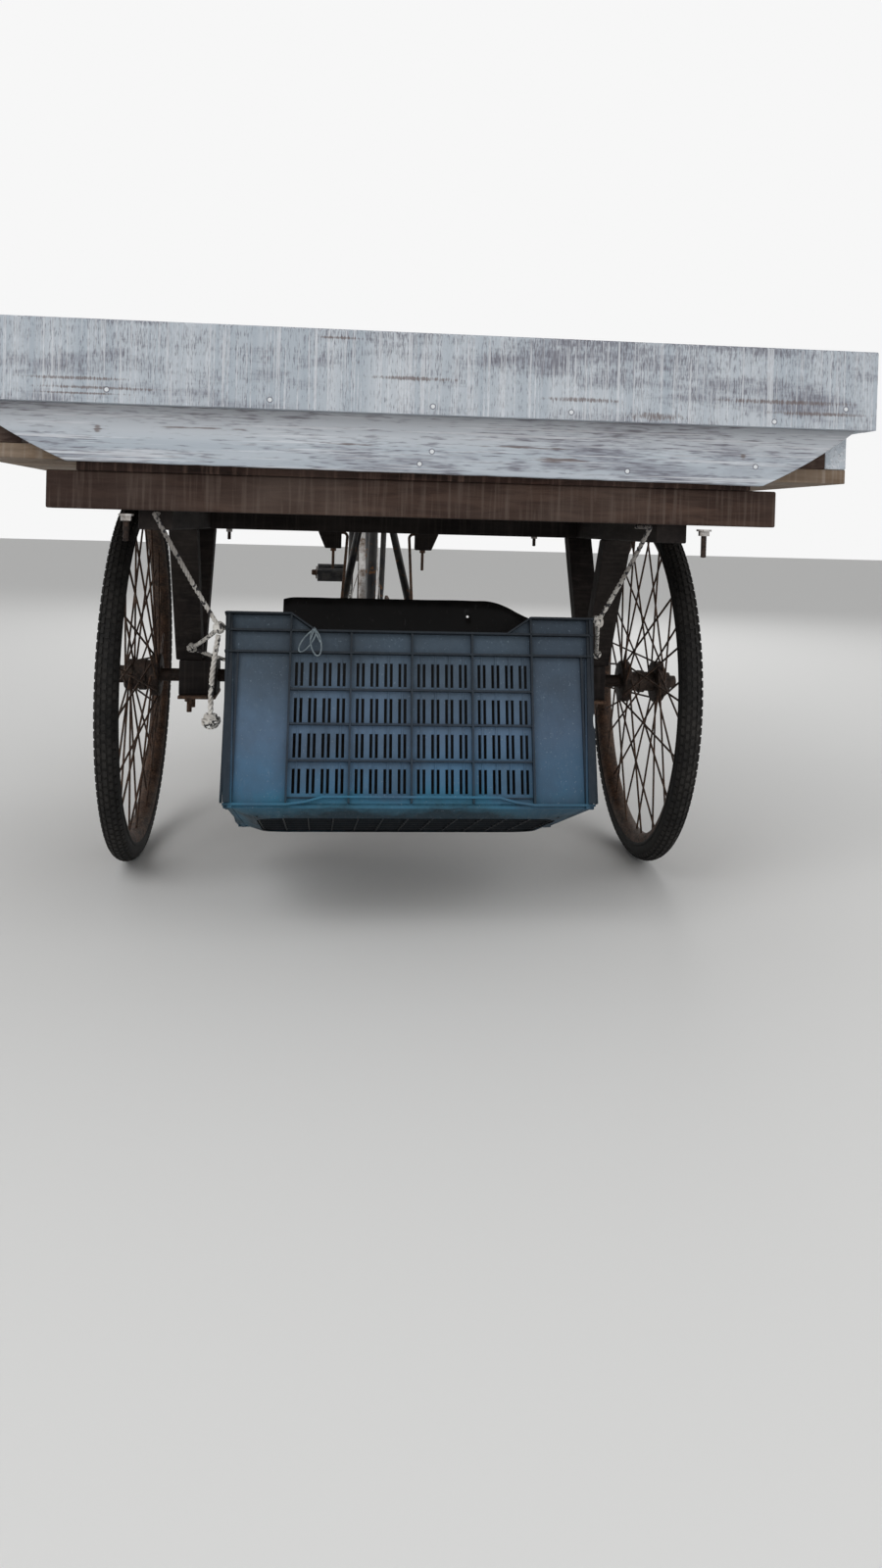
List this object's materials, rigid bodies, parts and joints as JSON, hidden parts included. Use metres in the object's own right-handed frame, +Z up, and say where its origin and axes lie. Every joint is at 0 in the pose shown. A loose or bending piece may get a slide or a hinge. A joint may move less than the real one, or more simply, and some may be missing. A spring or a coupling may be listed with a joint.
{
  "type": "cargo cycle rickshaw",
  "caption": "Pedal tricycle with a wooden loading deck over its rear wheels and a plastic crate roped on under the tail.",
  "frame": {"origin": "on the floor, below the middle of the whole length and width", "axes": "+Y forward, +X to the rider's right, +Z up"},
  "size_m": [1.38, 2.9726, 1.0597],
  "materials": {
    "painted_board": "worn pale paint over sawn wood",
    "old_wood": "weathered brown hardwood",
    "dark_wood": "dark greasy hardwood",
    "black_paint": "old black enamel, rust at the joints",
    "rusty_steel": "rusty bare steel",
    "dull_steel": "dull bare steel",
    "old_chrome": "pitted chrome",
    "tyre_rubber": "dusty black rubber",
    "grip_rubber": "matte black rubber",
    "crate_plastic": "faded blue-grey plastic",
    "liner_plastic": "thin black plastic sheet",
    "rope_fibre": "flecked white cord",
    "saddle_leather": "worn dark leather"
  },
  "bodies": {
    "chassis": {"axle_blocks": "dark_wood", "block_bolts": "rusty_steel", "block_plates": "rusty_steel", "chain": "rusty_steel", "crate": "crate_plastic", "crate_liner": "liner_plastic", "cross_beams": "dark_wood", "cycle_frame": "black_paint", "deck_posts": "old_wood", "floor_planks": "old_wood", "front_board": "painted_board", "front_rail": "painted_board", "hanger_blocks": "old_wood", "hanger_rods": "rusty_steel", "lashings": "rope_fibre", "post_cleats": "old_wood", "rope_tail": "rope_fibre", "saddle": "saddle_leather", "saddle_frame": "rusty_steel", "seat_post": "dull_steel", "side_boards": "painted_board", "side_rails": "painted_board", "sills": "old_wood", "sprocket": "rusty_steel", "struts": "dark_wood", "tail_batten": "dark_wood", "tail_beam": "old_wood", "tail_board_lower": "painted_board", "tail_board_upper": "painted_board"},
    "left_wheel": {"left_tyre": "tyre_rubber", "left_rim": "rusty_steel", "left_spokes": "rusty_steel", "left_hub": "dull_steel"},
    "right_wheel": {"right_tyre": "tyre_rubber", "right_rim": "rusty_steel", "right_spokes": "rusty_steel", "right_hub": "dull_steel", "rear_axle": "dull_steel"},
    "crank": {"crank_set": "old_chrome", "pedals": "grip_rubber"},
    "steering": {"fork": "black_paint", "front_mudguard": "dull_steel", "handlebar": "old_chrome", "grips": "grip_rubber"},
    "front_wheel": {"front_tyre": "tyre_rubber", "front_rim": "rusty_steel", "front_spokes": "rusty_steel", "front_hub": "dull_steel"}
  },
  "joints": [
    {"name": "left_wheel_spin", "type": "hinge", "parent": "chassis", "child": "left_wheel", "pos_m": [-0.504, -0.86925, 0.3555], "axis": [1, 0, 0], "continuous": true},
    {"name": "right_wheel_spin", "type": "hinge", "parent": "chassis", "child": "right_wheel", "pos_m": [0.504, -0.86925, 0.3555], "axis": [1, 0, 0], "continuous": true},
    {"name": "crank_spin", "type": "hinge", "parent": "chassis", "child": "crank", "pos_m": [0, 0.51575, 0.335], "axis": [1, 0, 0], "continuous": true},
    {"name": "steering_turn", "type": "hinge", "parent": "chassis", "child": "steering", "pos_m": [0, 0.88782, 0.79662], "axis": [0, -0.3746, 0.9272], "range_deg": [-45, 45]},
    {"name": "front_wheel_spin", "type": "hinge", "parent": "steering", "child": "front_wheel", "pos_m": [0, 1.13075, 0.3555], "axis": [1, 0, 0], "continuous": true}
  ]
}
